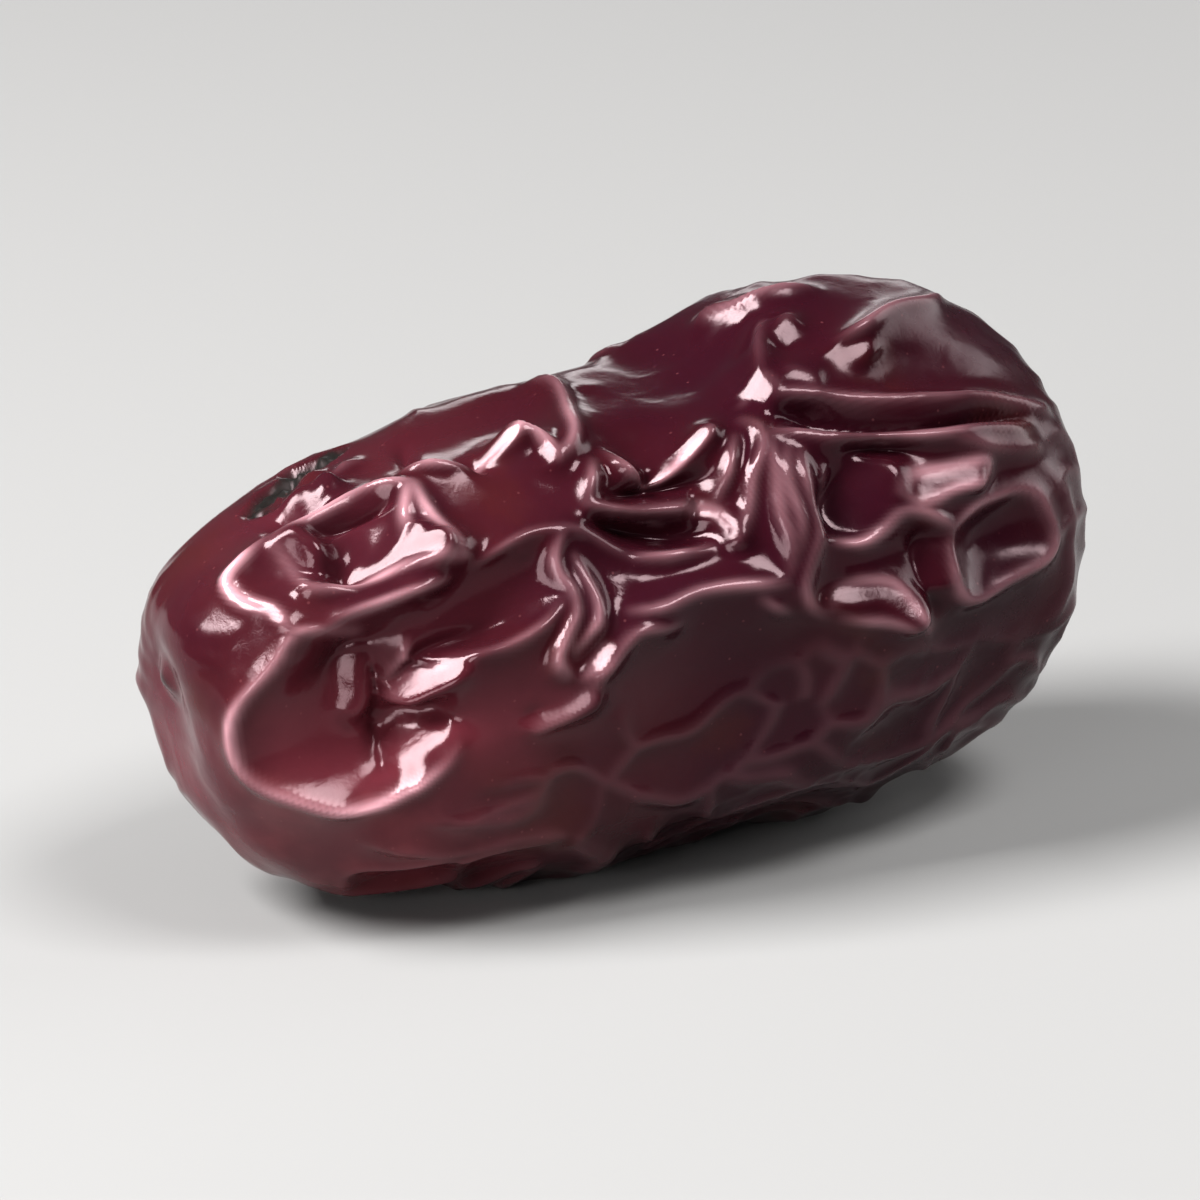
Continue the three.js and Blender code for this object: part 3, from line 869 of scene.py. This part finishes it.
# Pale pink of the crests: the stretched skin, and partly a painted sheen.
CREST_PINK_AND_SHEEN = (0.600, 0.330, 0.370)
PORE_PALE = (0.200, 0.070, 0.075)
CORK = (0.150, 0.080, 0.045)
SCAB_BLACK = (0.012, 0.011, 0.010)
GLOSSIEST, DULLEST = 0.11, 0.21  # the roughness of the clean hide
STEM_HAZE, SCAB_DULLNESS, CORK_DULLNESS = 0.10, 0.25, 0.40  # and what each of these adds to it
PORE_SPACING = 0.8
PORE_STRENGTH = 0.25
PUCKER_DEPTH = 0.05
PUCKER_STRENGTH = 0.25
HIDE_IOR = 1.45
HIDE_SPECULAR = 0.34
GLINT_TINT = (1.0, 0.76, 0.80, 1)
GLOW_THROUGH = 0.05  # the share of the light that goes into the hide and comes out near by
GLOW_THROUGH_REACH = 1.2
GLOW_THROUGH_COLOUR = (1.0, 0.25, 0.2)

hide = bpy.data.materials.new("wine_red_hide")
hide.use_nodes = True
nodes, links = hide.node_tree.nodes, hide.node_tree.links
shader = nodes["Principled BSDF"]


def put(kind, inputs=(), **settings):
    """A new node. Each input is a value, or the socket that feeds it."""
    node = nodes.new(kind)
    for name, value in settings.items():
        setattr(node, name, value)
    for name, value in dict(inputs).items():
        if isinstance(value, bpy.types.NodeSocket):
            links.new(value, node.inputs[name])
        else:
            node.inputs[name].default_value = value
    return node


def mottle(size, detail=3.0, roughness=0.5, distortion=0.0):
    """Soft noise, about 0 to 1, with patches of about this size in millimetres."""
    inputs = {"Vector": places_in_mm, "Scale": 1 / size, "Detail": detail}
    inputs |= {"Roughness": roughness, "Distortion": distortion}
    return put("ShaderNodeTexNoise", inputs).outputs["Fac"]


def stepped(value, low, high, to_low=0.0, to_high=1.0):
    """A value taken smoothly from one range to another, and held at its ends."""
    inputs = {"Value": value, "From Min": low, "From Max": high, "To Min": to_low, "To Max": to_high}
    return put("ShaderNodeMapRange", inputs, interpolation_type="SMOOTHSTEP").outputs["Result"]


def times(one, other):
    """The product of two values."""
    return put("ShaderNodeMath", {0: one, 1: other}, operation="MULTIPLY").outputs["Value"]


def plus(one, other):
    """The sum of two values."""
    return put("ShaderNodeMath", {0: one, 1: other}, operation="ADD").outputs["Value"]


def tinted(share, under, over):
    """One colour laid over another by a share. The sockets are the mix node's share and its two colours."""
    node = put("ShaderNodeMix", data_type="RGBA")
    links.new(share, node.inputs[0])
    for socket, value in ((node.inputs[6], under), (node.inputs[7], over)):
        if isinstance(value, bpy.types.NodeSocket):
            links.new(value, socket)
        else:
            socket.default_value = (*value, 1)
    return node.outputs[2]


def read_from_skin(name):
    """What keep_on_skin stored under this name."""
    return put("ShaderNodeAttribute", attribute_name=name).outputs["Fac"]


object_places = put("ShaderNodeTexCoord").outputs["Object"]
to_mm = {0: object_places, 1: (1 / MM,) * 3}
places_in_mm = put("ShaderNodeVectorMath", to_mm, operation="MULTIPLY").outputs["Vector"]
crest, hollow, along = (read_from_skin(name) for name in ("crest", "hollow", "along"))
scarred, scabbed, stained = (read_from_skin(name) for name in ("scar", "scab", "tip"))
# Painted light and shade: the blush and the painted light in the hollows are full on the belly and fall to a
# quarter of that on top.
belly = stepped(read_from_skin("top"), low=0.0, high=1.0, to_low=1.0, to_high=0.25)

# The hide itself: patches of dark purple in the wine red, a blush at the blossom end, made strongest on the
# belly and weaker on top as painted light and shade, more purple towards the stem, patches of rust, painted
# shade darkening the hollows, and painted light making them lighter and redder towards the blossom end.
purple_patches = stepped(mottle(size=7.0), low=0.35, high=0.65)
colour = tinted(purple_patches, WINE, PURPLE_BLACK_AND_SHADE)
blush_and_painted_light = times(
    stepped(along, low=0.0, high=0.55, to_low=1.0, to_high=0.0),
    stepped(mottle(size=2.6, detail=4.0), low=0.35, high=0.65, to_low=0.6, to_high=1.0),
)
blush_and_painted_light = times(blush_and_painted_light, stepped(along, low=0.01, high=0.07, to_low=0.45, to_high=1.0))
# The blush, stronger on the belly and weaker on top, as painted light and shade.
colour = tinted(times(blush_and_painted_light, belly), colour, BLUSH_AND_PAINTED_LIGHT)
colour = tinted(times(stepped(along, low=0.30, high=0.80), 0.50), colour, PURPLE_BLACK_AND_SHADE)
rust_patches = stepped(mottle(size=4.5, detail=5.0), low=0.55, high=0.75)
colour = tinted(times(rust_patches, 0.5), colour, RUST)
# Painted shade: the hollows are darkened towards dark purple.
colour = tinted(times(hollow, 0.35), colour, PURPLE_BLACK_AND_SHADE)
# Painted light: the hollows towards the blossom end are made lighter and redder, most on the belly.
painted_light_end = stepped(along, low=0.2, high=0.6, to_low=0.7, to_high=0.0)
colour = tinted(times(times(hollow, belly), painted_light_end), colour, PAINTED_LIGHT_RED)

# On top of that: the pink of the crests, for the pale stretched skin and partly as a painted sheen, the
# cork of the scar, the black tip and scab, and the pores.
colour = tinted(times(crest, 0.90), colour, CREST_PINK_AND_SHEEN)
cork_grain = stepped(mottle(size=0.5), low=0.3, high=0.7, to_low=0.6, to_high=1.0)
colour = tinted(times(scarred, cork_grain), colour, CORK)
colour = tinted(times(stained, 0.8), colour, SCAB_BLACK)
colour = tinted(scabbed, colour, SCAB_BLACK)
pores = put("ShaderNodeTexVoronoi", {"Vector": places_in_mm, "Scale": 1 / PORE_SPACING})
from_pore = pores.outputs["Distance"]
colour = tinted(times(stepped(from_pore, low=0.10, high=0.03), PORE_STRENGTH), colour, PORE_PALE)
links.new(colour, shader.inputs["Base Color"])

gloss = stepped(mottle(size=1.6, detail=4.0), low=0.3, high=0.7, to_low=GLOSSIEST, to_high=DULLEST)
haze = stepped(along, low=0.66, high=0.86, to_low=0.0, to_high=STEM_HAZE)
crusty = plus(times(scabbed, SCAB_DULLNESS), times(scarred, CORK_DULLNESS))
links.new(plus(plus(gloss, haze), crusty), shader.inputs["Roughness"])
pucker = mottle(size=0.55, detail=4.0, roughness=0.6, distortion=0.4)
bump = put("ShaderNodeBump", {"Height": pucker, "Strength": PUCKER_STRENGTH, "Distance": PUCKER_DEPTH * MM})
links.new(bump.outputs["Normal"], shader.inputs["Normal"])
shader.inputs["IOR"].default_value = HIDE_IOR
shader.inputs["Specular IOR Level"].default_value = HIDE_SPECULAR
shader.inputs["Specular Tint"].default_value = GLINT_TINT
shader.inputs["Subsurface Weight"].default_value = GLOW_THROUGH
shader.inputs["Subsurface Radius"].default_value = GLOW_THROUGH_COLOUR
shader.inputs["Subsurface Scale"].default_value = GLOW_THROUGH_REACH * MM
skin_mesh.materials.append(hide)

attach(jujube_skin, "root")
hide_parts("jujube")
